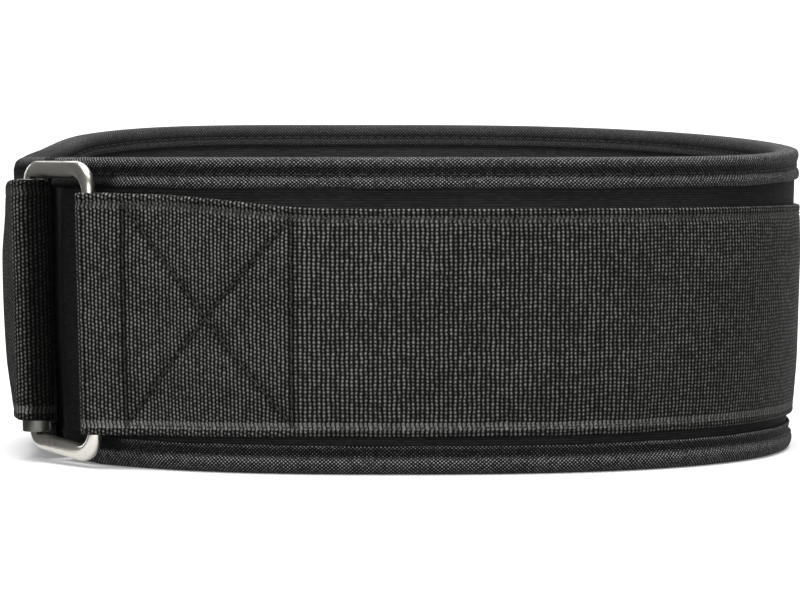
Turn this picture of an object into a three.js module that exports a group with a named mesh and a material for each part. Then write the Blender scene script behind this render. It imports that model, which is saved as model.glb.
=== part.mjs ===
// A nylon weightlifting belt, fastened into its waist loop and standing on its lower rim.
// Millimetres, +Z up, the front of the belt faces -Y and the buckle is at the front left.
import * as THREE from 'three';

// Waist loop in plan, taken on the outer face of the body
const halfWidthRight = 142;
const halfWidthLeft = 130.8;
const halfDepthFront = 111;
const halfDepthBack = 107;
const squarenessRight = 2.5; // 2 is an ellipse, more is flatter at the front and back
const squarenessLeft = 2.35;
const seamFromFront = 130; // along the loop, from the front centre left to where the body's ends meet
const endGap = 7; // between the two ends of the body

// Body
const beltHeight = 101.6; // 4 inches at the front
const backRise = 12.4; // how much taller the belt is at the middle of the back
const riseSharpness = 1.8;
const leftRiseFrom = 0.35; // share of the way from front to back where the left side starts to rise
const bodyThickness = 6.4;
const bodyBulge = 0.9; // how far the padding swells out at mid height
const wallTaper = 2.6; // how much further in the wall stands at the lower rim
const leftTaper = 1.6; // what the left side adds to that
const leftTaperFrom = 0.82; // how far the wall has to face left before it adds it
const loopStations = 90;

// Bindings
const bindingCover = 10.3; // how far a binding reaches down the outer face
const bindingWall = 1.3;
const gap = 0.3; // between pieces that lie on each other

// Webbing
const strapInset = 12.7; // half an inch above and below, which leaves 3 inches of webbing
const strapWidth = beltHeight - 2 * strapInset;
const strapThickness = 1.9;
const strapMid = beltHeight / 2;
const underLayerLength = 172; // length of the folded-under layer behind the frame
const layerStep = 14; // length over which the strap steps down from two layers to one
const boxFromBar = 18; // from the frame's bar to the first seam, where the two layers meet
const tailFold = 150; // how far the tail lies back over the body
const tailJoin = 78; // where the tail starts, left of the body's seam
const tailSettle = 34; // length over which the folded tail comes down onto the layer below
const tailSwell = 3.9; // how far the folded tail bows out at mid height, as a share of bodyBulge
const edgeSettle = 100; // length over which the webbing's edges settle away from the buckle
const turnClear = 5; // from a bar to the webbing's first place on the wall beside it
const runStep = 8.6;
const turnSteps = 9;
const loopArrive = THREE.MathUtils.degToRad(8);
const loopLeave = THREE.MathUtils.degToRad(24);
const rollerArrive = THREE.MathUtils.degToRad(3);
const rollerLeave = THREE.MathUtils.degToRad(14);

// Buckle frame and roller
const barSpacing = 32; // between the centres of the frame's two bars
const barWidth = 3.9;
const rollerBarWidth = 3.9;
const frameThickness = 3.9;
const frameBevel = 1.05;
const railHeight = 5.7;
const frameCornerRadius = 7;
const frameCornerSteps = 5;
const openingCornerAtRoller = 0.9;
const frameClearTop = 0.5; // above the tail's upper edge at the roller
const frameClearBottom = 3.7; // below the strap's lower edge at the loop
const railRise = 2.2; // the lower rail climbs by this much towards the roller
const frameAlong = 17.5; // middle of the frame, right of the body's seam
const frameStandOff = 9.3; // middle of the frame, out from the body's face
const rollerRadius = 4.65;
const rollerBore = 2.7;
const rollerEndPlay = 0.35;

// Colours
const bodyColour = 0x27282a;
const bindingColour = 0x3a3b3c;
const webbingColour = 0x34352f;
const metalColour = 0xb9b6b0;

// How far the wall swells at each share of the belt's height, as a share of bodyBulge
const wallBulge = [
  { height: 0.0, swell: 0 },
  { height: 0.11, swell: 0 },
  { height: 0.34, swell: 1 },
  { height: 0.66, swell: 1 },
  { height: 0.84, swell: 0.2 },
  { height: 2.0, swell: 0 },
];

// Section of a binding: thick is a share of bindingWall out from the face, drop a share of bindingCover
const bindingSection = [
  { face: 'outer', thick: 0, drop: 1 },
  { face: 'outer', thick: 0.75, drop: 1 },
  { face: 'outer', thick: 1.2, drop: 0.8 },
  { face: 'outer', thick: 0.8, drop: 0.47 },
  { face: 'outer', thick: 1.2, drop: 0.27 },
  { face: 'outer', thick: 0.45, drop: 0.08 },
  { face: 'outer', thick: -1.3, drop: 0 },
  { face: 'inner', thick: -1.3, drop: 0 },
  { face: 'inner', thick: 0.45, drop: 0.08 },
  { face: 'inner', thick: 1.2, drop: 0.27 },
  { face: 'inner', thick: 0.8, drop: 0.5 },
  { face: 'inner', thick: 0.8, drop: 0.76 },
  { face: 'inner', thick: 0, drop: 0.78 },
  { face: 'inner', thick: 0, drop: 0.17 },
  { face: 'outer', thick: 0, drop: 0.17 },
];
const bindingCrown = 0.17 * bindingCover;

// Edges of the webbing, as shares of strapWidth from strapMid, at places away from the frame's bar
// or the roller given as shares of edgeSettle. The frame and the roller spread the webbing, and on
// the long run its edges roll back.
const loopEdges = [
  { away: 0, low: -0.517, high: 0.516 },
  { away: 0.15, low: -0.516, high: 0.511 },
  { away: 0.8, low: -0.503, high: 0.452 },
];
const tailEdges = [
  { away: 0, low: -0.481, high: 0.57 },
  { away: 0.05, low: -0.483, high: 0.567 },
  { away: 0.26, low: -0.5, high: 0.502 },
  { away: 2.0, low: -0.503, high: 0.497 },
  { away: 2.8, low: -0.503, high: 0.452 },
];

function clamp01(value) {
  return Math.min(Math.max(value, 0), 1);
}

function smooth(share) {
  const t = clamp01(share);
  return t * t * (3 - 2 * t);
}

function mix(a, b, share) {
  return a + (b - a) * share;
}

// Reads a column of a table at a place between its rows
function readTable(rows, placeColumn, valueColumn, place, ease = (t) => t) {
  for (let i = 1; i < rows.length; i += 1) {
    const before = rows[i - 1];
    const after = rows[i];
    if (place <= after[placeColumn]) {
      const share = clamp01((place - before[placeColumn]) / (after[placeColumn] - before[placeColumn]));
      return mix(before[valueColumn], after[valueColumn], ease(share));
    }
  }
  return rows[rows.length - 1][valueColumn];
}

// Point of the waist loop at an angle from the front centre, positive towards the right
function loopPoint(angle) {
  const across = Math.sin(angle);
  const halfWidth = across > 0 ? halfWidthRight : halfWidthLeft;
  const halfDepth = Math.cos(angle) > 0 ? halfDepthFront : halfDepthBack;
  const squareness = across > 0 ? squarenessRight : squarenessLeft;
  const x = halfWidth * Math.sign(across) * Math.abs(across) ** (2 / squareness);
  return new THREE.Vector2(x, -halfDepth * Math.cos(angle));
}

// The loop as a list of close points, with the distance walked from the front centre
function measureLoop(count = 6000) {
  const points = [];
  let walked = 0;
  for (let i = 0; i <= count; i += 1) {
    const angle = (i / count) * 2 * Math.PI;
    const point = loopPoint(angle);
    if (i > 0) {
      walked += point.distanceTo(points[i - 1].point);
    }
    points.push({ angle, point, walked });
  }
  return points;
}

const loop = measureLoop();
const loopLength = loop[loop.length - 1].walked;
const seamWalked = loopLength - seamFromFront;

// Place on the loop, a distance to the right of the body's seam
function onLoop(along) {
  const target = (((seamWalked + along) % loopLength) + loopLength) % loopLength;
  let low = 0;
  let high = loop.length - 1;
  while (high - low > 1) {
    const middle = (low + high) >> 1;
    if (loop[middle].walked <= target) {
      low = middle;
    } else {
      high = middle;
    }
  }
  const share = (target - loop[low].walked) / (loop[high].walked - loop[low].walked);
  const point = loop[low].point.clone().lerp(loop[high].point, share);
  const behind = loop[Math.max(low - 4, 0)].point;
  const ahead = loop[Math.min(high + 4, loop.length - 1)].point;
  const tangent = ahead.clone().sub(behind).normalize();
  const outward = new THREE.Vector2(tangent.y, -tangent.x);
  const angle = mix(loop[low].angle, loop[high].angle, share);
  return { point, tangent, outward, angle };
}

// Height of the upper rim, which rises from the front to the back
function rimHeight(angle) {
  const way = (1 - Math.cos(angle)) / 2;
  const left = smooth((way - leftRiseFrom) / (1 - leftRiseFrom));
  return beltHeight + backRise * (Math.sin(angle) < 0 ? left : way ** riseSharpness);
}

function wallSwell(height) {
  return bodyBulge * readTable(wallBulge, 'height', 'swell', height / beltHeight);
}

// The wall leans in towards its lower rim, most of all on the left side
function wallLean(height, outward) {
  const left = smooth((-outward.x - leftTaperFrom) / (1 - leftTaperFrom));
  return -(wallTaper + leftTaper * left) * (1 - height / beltHeight);
}

// Point in space from a point in plan, pushed along the loop's outward direction by the wall's form
function raise(plan, outward, height, swellShare = 1) {
  const push = wallLean(height, outward) + swellShare * wallSwell(height);
  return new THREE.Vector3(plan.x + outward.x * push, plan.y + outward.y * push, height);
}

// Closed solid through a row of sections with equal point counts. Each section holds its points in
// space and, flat, as distances out and up, which its end faces are cut from.
function loft(sections) {
  const turned = THREE.ShapeUtils.area(sections[0].flat) < 0;
  const rings = sections.map((section) => (turned ? section.space.slice().reverse() : section.space));
  const firstFlat = turned ? sections[0].flat.slice().reverse() : sections[0].flat;
  const lastSection = sections[sections.length - 1];
  const lastFlat = turned ? lastSection.flat.slice().reverse() : lastSection.flat;
  const count = firstFlat.length;
  const lastStart = (sections.length - 1) * count;
  const index = [];
  for (const [a, b, c] of THREE.ShapeUtils.triangulateShape(firstFlat, [])) {
    index.push(a, b, c);
  }
  for (const [a, b, c] of THREE.ShapeUtils.triangulateShape(lastFlat, [])) {
    index.push(lastStart + c, lastStart + b, lastStart + a);
  }
  for (let start = 0; start < lastStart; start += count) {
    for (let j = 0; j < count; j += 1) {
      const a = start + j;
      const b = start + ((j + 1) % count);
      index.push(a, a + count, b + count, a, b + count, b);
    }
  }
  const geometry = new THREE.BufferGeometry();
  geometry.setAttribute('position', new THREE.Float32BufferAttribute(
    rings.flatMap((ring) => ring.flatMap((point) => point.toArray())),
    3,
  ));
  geometry.setIndex(index);
  geometry.computeVertexNormals();
  return geometry;
}

function materialOf(colour, roughness, metalness = 0) {
  return new THREE.MeshStandardMaterial({ color: colour, roughness, metalness });
}

function meshOf(name, geometry, material) {
  const mesh = new THREE.Mesh(geometry, material);
  mesh.name = name;
  return mesh;
}

// Solid that runs from one end of the body to the other, with its section given by the rim's height
function aroundLoop(sectionAt) {
  const sections = [];
  for (let i = 0; i <= loopStations; i += 1) {
    const along = mix(endGap / 2, loopLength - endGap / 2, i / loopStations);
    const place = onLoop(along);
    const rows = sectionAt(rimHeight(place.angle));
    sections.push({
      flat: rows.map((row) => new THREE.Vector2(row.out, row.height)),
      space: rows.map((row) => {
        const plan = place.point.clone().addScaledVector(place.outward, row.out);
        return raise(plan, place.outward, row.height);
      }),
    });
  }
  return loft(sections);
}

function bodySection(rim) {
  const bottom = bindingCrown + gap;
  const top = rim - bindingCrown - gap;
  const swells = wallBulge.slice(1, 5).map((row) => row.height * beltHeight);
  const outer = [bottom, ...swells, top].map((height) => ({ out: 0, height }));
  const inner = [top, swells[2], swells[1], bottom].map((height) => ({ out: -bodyThickness, height }));
  return [...outer, ...inner];
}

function bindingRows(rim, up) {
  return bindingSection.map((row) => {
    const depth = gap + row.thick * bindingWall;
    const out = row.face === 'outer' ? depth : -bodyThickness - depth;
    const drop = row.drop * bindingCover;
    return { out, height: up ? rim - drop : drop };
  });
}

// Centre and directions of the frame in plan: across runs from the loop's bar to the roller's bar
const frameSeat = onLoop(frameAlong);
const frameCentre = frameSeat.point.clone().addScaledVector(frameSeat.outward, frameStandOff);
const frameAcross = frameSeat.tangent.clone().negate();
const loopBar = frameCentre.clone().addScaledVector(frameAcross, -barSpacing / 2);
const rollerBar = frameCentre.clone().addScaledVector(frameAcross, barSpacing / 2);

const loopBarAlong = frameAlong + barSpacing / 2;
const rollerBarAlong = frameAlong - barSpacing / 2;
const underEnd = loopBarAlong + underLayerLength;

// Height of an edge of the webbing. The far half of the loop counts back from the roller.
function edgeAt(along, column) {
  const place = along > loopLength / 2 ? along - loopLength : along;
  const onTail = place < frameAlong;
  const rows = onTail ? tailEdges : loopEdges;
  const away = (onTail ? rollerBarAlong - place : place - loopBarAlong) / edgeSettle;
  return strapMid + strapWidth * readTable(rows, 'away', column, Math.max(away, 0), smooth);
}

const openingTop = edgeAt(rollerBarAlong, 'high') + frameClearTop;
const openingBottom = edgeAt(loopBarAlong, 'low') - frameClearBottom;

// One place on the webbing's way: its middle in plan, the wall's outward direction and its edges
function strapPlace(plan, outward, swellShare, edgeAlong) {
  return {
    plan,
    outward,
    swellShare,
    low: edgeAt(edgeAlong, 'low'),
    high: edgeAt(edgeAlong, 'high'),
  };
}

// Webbing that follows the wall at a distance from the body's face
function strapRun(from, to, outAt, swellAt, edgeShift = 0) {
  const steps = Math.max(Math.round(Math.abs(to - from) / runStep), 1);
  const places = [];
  for (let i = 0; i <= steps; i += 1) {
    const along = mix(from, to, i / steps);
    const seat = onLoop(along);
    const plan = seat.point.clone().addScaledVector(seat.outward, outAt(along));
    places.push(strapPlace(plan, seat.outward, swellAt(along), along + edgeShift));
  }
  return places;
}

// Webbing that turns round a bar, from its inner side to its outer side. It comes from the wall at
// the angle arrive and goes back to it at the angle leave, both measured from the frame's plane.
function strapTurn({ bar, radius, side, arrive, leave, innerEdgeAlong, outerEdgeAlong }) {
  const places = [];
  for (let i = 0; i <= turnSteps; i += 1) {
    const share = i / turnSteps;
    const angle = mix(arrive - Math.PI / 2, leave + Math.PI / 2, share);
    const plan = bar.clone();
    plan.addScaledVector(frameAcross, side * radius * Math.cos(angle));
    plan.addScaledVector(frameSeat.outward, radius * Math.sin(angle));
    const edgeAlong = mix(innerEdgeAlong, outerEdgeAlong, smooth(share));
    places.push(strapPlace(plan, frameSeat.outward, 0, edgeAlong));
  }
  return places;
}

// How far a bar's middle stands out from the body's face
function standOff(bar, along) {
  const seat = onLoop(along);
  return bar.clone().sub(seat.point).dot(seat.outward);
}

// Ribbon of webbing through its places, with the same rows of height as the wall's swell
function ribbon(places) {
  const sections = places.map((place, i) => {
    const before = places[Math.max(i - 1, 0)].plan;
    const after = places[Math.min(i + 1, places.length - 1)].plan;
    const tangent = after.clone().sub(before).normalize();
    const side = new THREE.Vector2(tangent.y, -tangent.x);
    const heights = [place.low, wallBulge[2].height * beltHeight, wallBulge[3].height * beltHeight, place.high];
    const rows = [
      ...heights.map((height) => ({ out: strapThickness / 2, height })),
      ...heights.slice().reverse().map((height) => ({ out: -strapThickness / 2, height })),
    ];
    return {
      flat: rows.map((row) => new THREE.Vector2(row.out, row.height)),
      space: rows.map((row) => {
        const plan = place.plan.clone().addScaledVector(side, row.out);
        return raise(plan, place.outward, row.height, place.swellShare);
      }),
    };
  });
  return loft(sections);
}

const firstLayer = gap + strapThickness / 2;
const secondLayer = firstLayer + strapThickness + gap;
const loopTurnRadius = Math.hypot(barWidth, frameThickness) / 2 - frameBevel * 0.35 + gap + strapThickness / 2;
const rollerTurnRadius = rollerRadius + gap + strapThickness / 2;
// Webbing sewn round the body, its near end folded round the frame's bar and back under itself
function supportStrap() {
  const barOut = standOff(loopBar, loopBarAlong);
  const boxAlong = loopBarAlong + boxFromBar;
  const stepFrom = underEnd + strapThickness;
  const towardsBar = (along) => clamp01((boxAlong - along) / boxFromBar);
  const swell = (along) => 1 - smooth(towardsBar(along));
  const underBar = barOut - loopTurnRadius / Math.cos(loopArrive);
  const overBar = barOut + loopTurnRadius / Math.cos(loopLeave);
  const underOut = (along) => mix(firstLayer, underBar, towardsBar(along));
  const overOut = (along) => {
    const single = smooth((along - stepFrom) / layerStep);
    return mix(mix(secondLayer, firstLayer, single), overBar, towardsBar(along));
  };
  return ribbon([
    ...strapRun(underEnd, boxAlong, underOut, swell),
    ...strapRun(boxAlong - turnClear, loopBarAlong + turnClear / 2, underOut, swell),
    ...strapTurn({
      bar: loopBar,
      radius: loopTurnRadius,
      side: 1,
      arrive: loopArrive,
      leave: loopLeave,
      innerEdgeAlong: loopBarAlong,
      outerEdgeAlong: loopBarAlong,
    }),
    ...strapRun(loopBarAlong + turnClear, boxAlong - turnClear, overOut, swell),
    ...strapRun(boxAlong, stepFrom, overOut, swell),
    ...strapRun(stepFrom + layerStep / 2, stepFrom + layerStep, overOut, swell),
    ...strapRun(stepFrom + layerStep + runStep, loopLength - tailJoin, overOut, swell),
  ]);
}

// Webbing that passes behind the roller, turns round it and folds back over the left side
function tailStrap() {
  const barOut = standOff(rollerBar, rollerBarAlong);
  const settled = rollerBarAlong - tailSettle;
  const towardsRoller = (along) => clamp01((along - settled) / tailSettle);
  const underSwell = () => 1;
  const overSwell = (along) => tailSwell * (1 - smooth(towardsRoller(along)));
  const underRoller = barOut - rollerTurnRadius / Math.cos(rollerArrive);
  const overRoller = barOut + rollerTurnRadius / Math.cos(rollerLeave);
  const underOut = (along) => mix(firstLayer, underRoller, towardsRoller(along));
  const overOut = (along) => mix(secondLayer, overRoller, towardsRoller(along));
  return ribbon([
    ...strapRun(gap - tailJoin, settled, underOut, underSwell, -tailSettle),
    ...strapRun(settled + runStep, rollerBarAlong - turnClear / 2, underOut, underSwell, -tailSettle),
    ...strapTurn({
      bar: rollerBar,
      radius: rollerTurnRadius,
      side: -1,
      arrive: rollerArrive,
      leave: rollerLeave,
      innerEdgeAlong: settled,
      outerEdgeAlong: rollerBarAlong,
    }),
    ...strapRun(rollerBarAlong - turnClear, settled + runStep, overOut, overSwell),
    ...strapRun(settled, rollerBarAlong - tailFold, overOut, overSwell),
  ]);
}

// Moves a solid drawn as (towards the loop's bar, up, outwards) from the frame's centre into its seat
function seatInFrame(geometry) {
  const position = geometry.attributes.position;
  for (let i = 0; i < position.count; i += 1) {
    const plan = frameCentre.clone();
    plan.addScaledVector(frameSeat.tangent, position.getX(i));
    plan.addScaledVector(frameSeat.outward, position.getZ(i));
    const point = raise(plan, frameSeat.outward, position.getY(i), 0);
    position.setXYZ(i, point.x, point.y, point.z);
  }
  geometry.computeVertexNormals();
  return geometry;
}

// Rounded outline with the roller's side on the left, where the lower edge is raised
function frameOutline({ left, right, low, high, leftRadius, rightRadius }) {
  const corners = [
    { x: right - rightRadius, y: low + rightRadius, radius: rightRadius, from: -Math.PI / 2 },
    { x: right - rightRadius, y: high - rightRadius, radius: rightRadius, from: 0 },
    { x: left + leftRadius, y: high - leftRadius, radius: leftRadius, from: Math.PI / 2 },
    { x: left + leftRadius, y: low + railRise + leftRadius, radius: leftRadius, from: Math.PI },
  ];
  return corners.flatMap(({ x, y, radius, from }) => {
    const points = [];
    for (let i = 0; i <= frameCornerSteps; i += 1) {
      const angle = from + (i / frameCornerSteps) * (Math.PI / 2);
      points.push(new THREE.Vector2(x + radius * Math.cos(angle), y + radius * Math.sin(angle)));
    }
    return points;
  });
}

function buckleFrame() {
  const rollerSide = -barSpacing / 2;
  const loopSide = barSpacing / 2;
  const outer = new THREE.Shape(frameOutline({
    left: rollerSide - rollerBarWidth / 2,
    right: loopSide + barWidth / 2,
    low: openingBottom - railHeight,
    high: openingTop + railHeight,
    leftRadius: frameCornerRadius,
    rightRadius: frameCornerRadius,
  }));
  const inner = new THREE.Path(frameOutline({
    left: rollerSide + rollerBarWidth / 2,
    right: loopSide - barWidth / 2,
    low: openingBottom,
    high: openingTop,
    leftRadius: openingCornerAtRoller,
    rightRadius: frameCornerRadius - barWidth,
  }));
  outer.holes.push(inner);
  const depth = frameThickness - 2 * frameBevel;
  const geometry = new THREE.ExtrudeGeometry(outer, {
    depth,
    bevelEnabled: true,
    bevelThickness: frameBevel,
    bevelSize: frameBevel,
    bevelOffset: -frameBevel,
    bevelSegments: 2,
  });
  return seatInFrame(geometry.translate(0, 0, -depth / 2));
}

function buckleRoller() {
  const low = openingBottom + railRise + rollerEndPlay;
  const high = openingTop - rollerEndPlay;
  const wall = [
    [rollerBore, low],
    [rollerRadius, low],
    [rollerRadius, high],
    [rollerBore, high],
    [rollerBore, low],
  ].map(([radius, height]) => new THREE.Vector2(radius, height));
  const geometry = new THREE.LatheGeometry(wall, 20).translate(-barSpacing / 2, 0, 0);
  return seatInFrame(geometry);
}

const webbing = () => materialOf(webbingColour, 0.8);
const binding = () => materialOf(bindingColour, 0.85);
const metal = () => materialOf(metalColour, 0.35, 1);

const belt = new THREE.Group();
belt.add(meshOf('belt_body', aroundLoop(bodySection), materialOf(bodyColour, 0.9)));
belt.add(meshOf('top_binding', aroundLoop((rim) => bindingRows(rim, true)), binding()));
belt.add(meshOf('bottom_binding', aroundLoop((rim) => bindingRows(rim, false)), binding()));
belt.add(meshOf('support_strap', supportStrap(), webbing()));
belt.add(meshOf('tail_strap', tailStrap(), webbing()));
belt.add(meshOf('buckle_frame', buckleFrame(), metal()));
belt.add(meshOf('buckle_roller', buckleRoller(), metal()));

// The origin is the middle of the belt's bounding box, on the surface that it stands on
belt.updateMatrixWorld(true);
const bounds = new THREE.Box3().setFromObject(belt);
belt.position.set(-(bounds.min.x + bounds.max.x) / 2, -(bounds.min.y + bounds.max.y) / 2, -bounds.min.z);

export default belt;
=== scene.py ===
"""Nylon lifting belt with a padded body, sewn bindings, wide webbing and a roller buckle."""

import math

import bmesh
import bpy
import numpy as np
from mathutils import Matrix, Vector


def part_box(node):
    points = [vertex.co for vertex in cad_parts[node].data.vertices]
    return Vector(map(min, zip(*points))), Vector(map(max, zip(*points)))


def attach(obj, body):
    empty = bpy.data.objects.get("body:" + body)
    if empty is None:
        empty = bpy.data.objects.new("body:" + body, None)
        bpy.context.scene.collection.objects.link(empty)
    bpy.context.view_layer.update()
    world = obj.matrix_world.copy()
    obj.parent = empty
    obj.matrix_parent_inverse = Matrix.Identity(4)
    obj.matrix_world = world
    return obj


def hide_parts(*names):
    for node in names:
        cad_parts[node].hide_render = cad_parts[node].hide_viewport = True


bl_info = {
    "name": "Nylon lifting belt",
    "version": (1, 0, 0),
    "blender": (4, 5, 0),
    "location": "3D View > Sidebar > Belt",
    "description": "Dresses the CAD frame of a nylon lifting belt with its cloth, stitches and metal",
    "category": "Object",
}

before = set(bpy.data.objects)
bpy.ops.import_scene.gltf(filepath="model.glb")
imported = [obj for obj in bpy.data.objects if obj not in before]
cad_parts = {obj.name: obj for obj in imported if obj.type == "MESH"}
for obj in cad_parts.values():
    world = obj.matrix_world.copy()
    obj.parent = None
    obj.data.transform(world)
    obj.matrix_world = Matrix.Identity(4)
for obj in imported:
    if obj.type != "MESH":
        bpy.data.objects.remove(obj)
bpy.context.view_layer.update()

BODY = "root"
FABRIC_UV = "fabric"
MM = 0.001

# The waist loop, which the CAD model draws by the same rule
HALF_WIDTH = {"right": 142 * MM, "left": 130.8 * MM}
SQUARENESS = {"right": 2.5, "left": 2.35}
HALF_DEPTH = {"front": 111 * MM, "back": 107 * MM}
SEAM_FROM_FRONT = 130 * MM
END_GAP = 7 * MM

# The wall of the belt
BELT_HEIGHT = 101.6 * MM
BACK_RISE = 12.4 * MM
RISE_SHARPNESS = 1.8
LEFT_RISE_FROM = 0.35
LEFT_SAG = 2.0 * MM
LEFT_SAG_STARTS = (0.36, 0.1)
LEFT_SAG_ENDS = (0.62, 0.13)
END_LIFT = 5.2 * MM
END_LIFT_HIGHEST = 52 * MM
END_LIFT_RUN = 76 * MM
END_LIFT_ENDS = (60 * MM, 110 * MM)
BODY_THICKNESS = 6.4 * MM
BODY_BULGE = 0.9 * MM
WALL_TAPER = 2.6 * MM
LEFT_TAPER = 1.6 * MM
LEFT_TAPER_FROM = 0.82
GAP = 0.3 * MM
BINDING_COVER = 10.3 * MM
BINDING_CROWN = 0.17 * BINDING_COVER
CHANNEL_DEPTH = 5.0 * MM
CROWN_HOLLOW = 0.12 * MM
OUTER_GROOVE = 5.5
INNER_GROOVE = 4.9

# The webbing
STRAP_WIDTH = BELT_HEIGHT - 2 * 12.7 * MM
STRAP_THICKNESS = 1.9 * MM
STRAP_MID = BELT_HEIGHT / 2
UNDER_LAYER_LENGTH = 172 * MM
LAYER_STEP = 14 * MM
BOX_FROM_BAR = 18 * MM
TAIL_FOLD = 150 * MM
TAIL_JOIN = 78 * MM
TAIL_SETTLE = 34 * MM
TAIL_SWELL = 2.2
EDGE_SETTLE = 100 * MM
TURN_CLEAR = 5 * MM
LOOP_ARRIVE = math.radians(8)
LOOP_LEAVE = math.radians(24)
ROLLER_ARRIVE = math.radians(3)
ROLLER_LEAVE = math.radians(14)
SELVEDGE = 0.9 * MM
SEAM_WIDTH = 0.9 * MM
BOX_STARTS = 15 * MM
BOX_LIP = 4 * MM

# The buckle
BAR_SPACING = 32 * MM
BAR_WIDTH = 3.9 * MM
FRAME_THICKNESS = 3.9 * MM
FRAME_BEVEL = 1.05 * MM
RAIL_HEIGHT = 5.7 * MM
FRAME_CORNER_RADIUS = 7 * MM
RIGHT_CORNER_RADIUS = FRAME_CORNER_RADIUS + 2 * MM
FRAME_SQUARENESS = 2.7
BAR_TURN = math.radians(27)
BAR_TURN_FROM = 5 * MM
CORNER_AT_ROLLER = 0.9 * MM
FRAME_CLEAR_TOP = 0.5 * MM
FRAME_CLEAR_BOTTOM = 3.7 * MM
RAIL_RISE = 2.2 * MM
FRAME_ALONG = 17.5 * MM
FRAME_STAND_OFF = 9.3 * MM
ROLLER_RADIUS = 4.65 * MM
ROLLER_BORE = 2.7 * MM
ROLLER_END_PLAY = 0.35 * MM
ROLLER_EDGE = 0.35 * MM

# How finely the meshes are divided
OUTSIDE_POINTS = 26
INSIDE_POINTS = 22
CROWN_POINTS = 6
BINDING_STATIONS = 380
BODY_STATIONS = 156
BODY_ROWS = 20
WEBBING_ROWS = 46
CORNER_STEPS = 16
FRAME_POINTS = 32
FRAME_STEP = 1.2 * MM
ROLLER_POINTS = 48
FINE_STEP = 0.8 * MM
SEAM_STEP = 2 * MM

# Swell of the wall at shares of its height, and edges of the webbing at places away from the buckle
WALL_BULGE = [(0.0, 0.0), (0.11, 0.0), (0.34, 1.0), (0.66, 1.0), (0.84, 0.2), (2.0, 0.0)]
LOOP_LOW = [(0.0, -0.517), (0.15, -0.516), (0.8, -0.503)]
LOOP_HIGH = [(0.0, 0.516), (0.15, 0.511), (0.8, 0.452)]
TAIL_LOW = [(0.0, -0.481), (0.05, -0.483), (0.26, -0.5), (2.0, -0.503), (2.8, -0.503)]
TAIL_HIGH = [(0.0, 0.57), (0.05, 0.567), (0.26, 0.502), (2.0, 0.497), (2.8, 0.452)]

# Sections of the bindings in mm: out from the body's face, and down from the rim
TOP_OUTER = [
    (0.0, 9.9), (1.2, 9.95), (1.95, 9.5), (2.25, 8.7), (2.1, 7.8), (1.5, 7.0), (0.5, 6.4),
    (0.2, 5.5), (0.6, 4.3), (1.3, 3.2), (1.65, 2.2), (1.45, 1.2), (0.5, 0.4), (-1.3, 0.0),
]
BOTTOM_OUTER = [
    (0.0, 9.3), (0.9, 9.35), (1.25, 8.9), (1.0, 8.2), (0.75, 7.3), (0.6, 6.2), (0.85, 5.7),
    (1.8, 5.1), (2.35, 4.1), (2.3, 2.6), (1.5, 1.1), (0.3, 0.3), (-1.3, 0.0),
]
INNER_SIDE = [
    (-1.3, 0.0), (0.3, 0.5), (1.2, 1.8), (1.35, 3.2), (0.95, 4.4), (0.9, 5.2), (1.15, 6.2),
    (1.0, 7.4), (0.8, 7.9), (0.0, 7.95),
]

# Places of the bindings along the belt from its leftmost point, as (start, run) where they ease in or
# out, and the forms that differ between the upper binding (True) and the lower one (False)
TAUT_COMES = (-42 * MM, 22 * MM)
TAUT_GOES = (20 * MM, 20 * MM)
TAUT_SWELL = {True: 2.1 * MM, False: 0.45 * MM}
TAUT_ROUNDING = 3.2 * MM
TAUT_FROM_RIM = 0.6 * MM
FLAT_REACH = 70 * MM
FLAT_SHARE = {True: 0.5, False: 0.3}
WAVE_LENGTH = 61 * MM
HEM_SHARE = 0.9
TUCK_DEPTH = 0.08 * MM
TUCK_PLACE = 5.4 * MM
TUCK_WIDTH = 1.1 * MM
SHADE_AT_BAR = 5 * MM
SHADE_AT_LEFT = 10 * MM
SHADE_BELOW = 5.2 * MM
STRAP_WAVE_LENGTH = 47 * MM
STRAP_WAVE = 0.12 * MM

# Bands of the webbing's weave inside its selvedges, as (start, end) of their first and second edges
SEAM_BAND = ((2.2 * MM, 2.5 * MM), (4.4 * MM, 5.0 * MM))
GROOVE_BAND = ((1.3 * MM, 1.7 * MM), (2.1 * MM, 2.4 * MM))

# The lining's cloth
CLOTH_STEPS = 20
CLOTH = {
    "vertex_group_mass": "held",
    "use_pressure": True,
    "uniform_pressure_force": 4.0,
    "quality": 5,
    "mass": 0.3,
    "tension_stiffness": 12.0,
    "compression_stiffness": 12.0,
    "bending_stiffness": 0.6,
}

# The stage: the paper in metres, the lights, and the camera by a picture of PICTURE_WIDTH pixels
PAPER_REACH = 3.2
PAPER_SPLIT = -0.14
PAPER_TOP = 2.4
BEND_FROM = 2.3
BEND_RADIUS = 0.7
BEND_STEPS = 12
LIGHTS = (
    ("top softbox", 27.0, (1.5, 1.1), (0.0, -0.4, 1.3), (0.0, 0.0, 0.05)),
    ("front softbox", 3.8, (0.9, 0.36), (-0.05, -0.95, 0.18), (-0.05, 0.0, 0.05)),
    ("rim light", 1.4, (0.15, 0.5), (-1.0, 0.6, 0.22), (-0.1, 0.0, 0.06)),
    ("backdrop light", 70.0, (3.4, 1.4), (0.0, 1.5, 1.9), (0.0, 2.2, 0.0)),
)
WORLD_STRENGTH = 0.13
PAPER_GLOW = 0.2
SENSOR_WIDTH = 36.0
PICTURE_WIDTH = 800.0
FOCAL_PIXELS = 3004.0
HORIZON_PIXELS = 145.0
CAMERA_PLACE = (2.94 * MM, -1066.4 * MM, 102.3 * MM)


# Shapes

def smooth(share):
    share = np.clip(share, 0.0, 1.0)
    return share * share * (3 - 2 * share)


def climb(place, start, run):
    """Eases from 0 to 1 over a run of places."""
    return smooth((place - start) / run)


def pull_in(distance, width):
    return np.exp(-((distance / width) ** 2))


def mix(a, b, share):
    return a + (b - a) * share


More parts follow.
